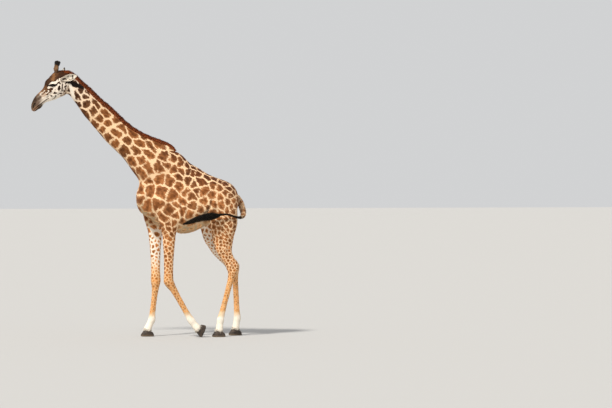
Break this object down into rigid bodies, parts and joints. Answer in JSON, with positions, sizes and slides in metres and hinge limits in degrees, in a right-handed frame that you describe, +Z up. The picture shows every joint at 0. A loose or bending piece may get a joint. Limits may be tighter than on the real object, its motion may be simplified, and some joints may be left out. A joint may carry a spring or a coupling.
{
  "type": "giraffe",
  "caption": "Life-size still model of a walking adult giraffe, its neck stretched forward and its tail swung to one side, for display.",
  "frame": {"origin": "on the floor, under the middle of the bounding box", "axes": "+Z up; the giraffe faces -Y and its left side is +X"},
  "size_m": [0.7442, 3.0858, 3.9275],
  "materials": {
    "hide": "short flat hair, cream with brown patches",
    "mane": "short stiff chestnut hair",
    "tail_hair": "long coarse black hair",
    "ossicone": "brown hair with a black tuft at the tip",
    "hoof": "dark horn, worn and dusty",
    "eye": "wet and glossy, dark brown"
  },
  "bodies": {
    "root": {"ear_left": "hide", "ear_right": "hide", "eye_left": "eye", "eye_right": "eye", "foreleg_left_cannon": "hide", "foreleg_left_forearm": "hide", "foreleg_left_hoof_inner": "hoof", "foreleg_left_hoof_outer": "hoof", "foreleg_left_pastern": "hide", "foreleg_right_cannon": "hide", "foreleg_right_forearm": "hide", "foreleg_right_hoof_inner": "hoof", "foreleg_right_hoof_outer": "hoof", "foreleg_right_pastern": "hide", "head": "hide", "hindleg_left_cannon": "hide", "hindleg_left_hoof_inner": "hoof", "hindleg_left_hoof_outer": "hoof", "hindleg_left_pastern": "hide", "hindleg_left_thigh": "hide", "hindleg_right_cannon": "hide", "hindleg_right_hoof_inner": "hoof", "hindleg_right_hoof_outer": "hoof", "hindleg_right_pastern": "hide", "hindleg_right_thigh": "hide", "lower_jaw": "hide", "mane": "mane", "neck_lower": "hide", "neck_upper": "hide", "ossicone_left": "ossicone", "ossicone_right": "ossicone", "tail_dock": "hide", "tail_switch": "tail_hair", "trunk": "hide"}
  },
  "joints": []
}
